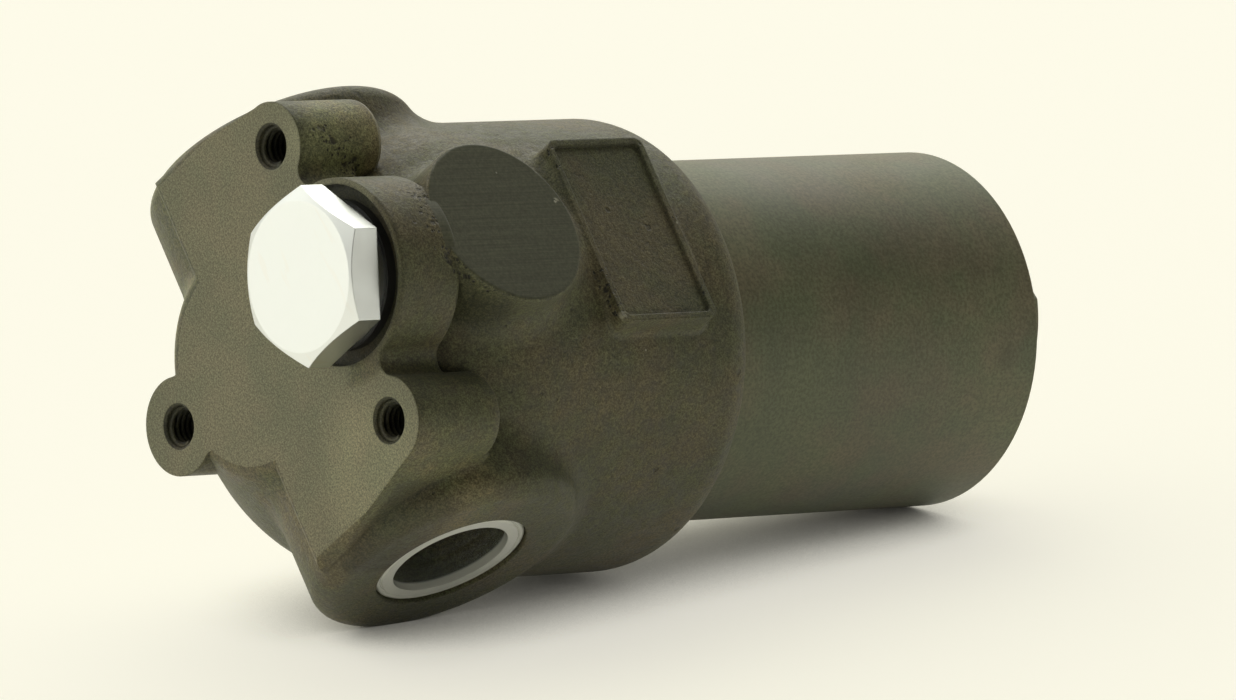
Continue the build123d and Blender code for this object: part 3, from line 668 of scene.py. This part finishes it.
def cap_bead(port, side):
    """A round bead on the edge of a cap, which fills the mouth of its port."""
    bpy.ops.mesh.primitive_circle_add(
        vertices=BEAD_CORNERS, radius=BEAD_THICK * MM, fill_type="NOTHING", rotation=(math.pi / 2, 0, 0),
        location=(side * CAP_X * MM, 0, (PORT_Z + BEAD_R) * MM),
    )
    bead = bpy.context.object
    bead.name = port + "_cap_bead"
    bpy.ops.object.transform_apply(location=True, rotation=True, scale=True)
    bpy.ops.object.mode_set(mode="EDIT")
    bpy.ops.mesh.select_all(action="SELECT")
    bpy.ops.mesh.spin(steps=BEAD_STEPS, angle=2 * math.pi, center=(0, 0, PORT_Z * MM), axis=(1, 0, 0))
    bpy.ops.mesh.select_all(action="SELECT")
    bpy.ops.mesh.remove_doubles(threshold=WELD)
    bpy.ops.mesh.normals_make_consistent(inside=False)
    bpy.ops.object.mode_set(mode="OBJECT")
    bpy.ops.object.shade_smooth()
    bead.data.materials.append(FINISHES["inlet_port_cap"])
    bead.select_set(False)
    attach(bead, port + "_cap")


for port, side in (("inlet", 1), ("outlet", -1)):
    cap_bead(port, side)


# Floor, light and camera

PAPER = ((0.93, 0.92, 0.85, 1), (0.95, 0.94, 0.87, 1))
PAPER_SHOWN = (0.42, 0.412, 0.33, 1)
PAPER_GLOW = (1.0, 0.975, 0.88, 1)
SHADOW_REACH = 60 * MM


def pale_paper():
    """Cream paper. The camera sees a darker sheet with a glow that fades close to the filter, a painted
    shadow.
    """
    paper = Finish("pale_paper", 0.8, 0.0, 0.1)
    smudge = paper.grain(7, 3.0, 0.5)
    seen = paper.node("LightPath").outputs
    shown = paper.largest(seen["Is Camera Ray"], seen["Is Glossy Ray"], seen["Is Transmission Ray"])
    colour = paper.blend(paper.between(smudge, 0.35, 0.7), *PAPER)
    paper.set("Base Color", paper.blend(shown, colour, PAPER_SHOWN))
    # painted shadow: the glow fades where the filter blocks the open floor
    open_floor = paper.between(paper.crevices(SHADOW_REACH, False), 0.0, 0.52)
    paper.set("Emission Color", PAPER_GLOW)
    paper.set("Emission Strength", paper.product(shown, open_floor, 0.65))
    # From below the paper is clear to the camera, so that the filter shows from every side
    from_below = paper.product(paper.node("NewGeometry").outputs["Backfacing"], seen["Is Camera Ray"])
    both = paper.node("MixShader")
    paper.feed(both.inputs[0], from_below)
    paper.feed(both.inputs[1], paper.tree.nodes["Principled BSDF"].outputs[0])
    paper.feed(both.inputs[2], paper.node("BsdfTransparent").outputs[0])
    paper.feed(paper.tree.nodes["Material Output"].inputs["Surface"], both.outputs[0])
    return paper.material


def lay_floor():
    bpy.ops.mesh.primitive_plane_add(
        size=FLOOR_SIZE, location=-FLOOR_UP * FLOOR_DEPTH,
        rotation=FLOOR_UP.to_track_quat("Z", "Y").to_euler(),
    )
    bpy.ops.object.transform_apply(location=True, rotation=True, scale=True)
    floor = bpy.context.object
    floor.name = "paper_floor"
    floor.data.materials.append(pale_paper())
    floor.select_set(False)


# Soft light from all round, and from walls: direction, sharpness, strength
EVEN_LIGHT = 0.04
LIGHT_WALLS = (
    # at the left, above and behind, and at the right
    (-RIGHT, 1.2, 1.22),
    (FLOOR_UP * 0.76 + AHEAD * 0.65, 7.0, 3.0),
    (RIGHT, 30.0, 0.9),
)
LIGHT_TINT = (1.0, 0.99, 0.88, 1)


def light_world():
    world = bpy.data.worlds.new("studio")
    bpy.context.scene.world = world
    world.use_nodes = True
    tree = world.node_tree
    background = tree.nodes["Background"]
    background.inputs["Color"].default_value = LIGHT_TINT
    way = tree.nodes.new("ShaderNodeTexCoord").outputs["Generated"]
    total = None
    for direction, sharpness, strength in LIGHT_WALLS:
        facing = tree.nodes.new("ShaderNodeVectorMath")
        facing.operation = "DOT_PRODUCT"
        tree.links.new(way, facing.inputs[0])
        facing.inputs[1].default_value = direction.normalized()
        last = facing.outputs["Value"]
        for operation, number in (("MAXIMUM", 0.0), ("POWER", sharpness), ("MULTIPLY", strength)):
            step = tree.nodes.new("ShaderNodeMath")
            step.operation = operation
            tree.links.new(last, step.inputs[0])
            step.inputs[1].default_value = number
            last = step.outputs[0]
        together = tree.nodes.new("ShaderNodeMath")
        together.operation = "ADD"
        tree.links.new(last, together.inputs[0])
        if total is None:
            together.inputs[1].default_value = EVEN_LIGHT
        else:
            tree.links.new(total, together.inputs[1])
        total = together.outputs[0]
    tree.links.new(total, background.inputs["Strength"])


def set_camera():
    lens = bpy.data.cameras.new("photo_view")
    lens.sensor_width = SENSOR_WIDTH
    lens.lens = SENSOR_WIDTH * FOCAL_PIXELS / PHOTO_WIDTH
    lens.clip_start = 0.1
    lens.clip_end = 100.0
    camera = bpy.data.objects.new("photo_view", lens)
    bpy.context.scene.collection.objects.link(camera)
    turned = Matrix((RIGHT, UP, -AHEAD)).transposed().to_4x4()
    camera.matrix_world = Matrix.Translation(EYE) @ turned
    bpy.context.scene.camera = camera


lay_floor()
light_world()
set_camera()
bpy.context.scene.view_settings.view_transform = "Standard"
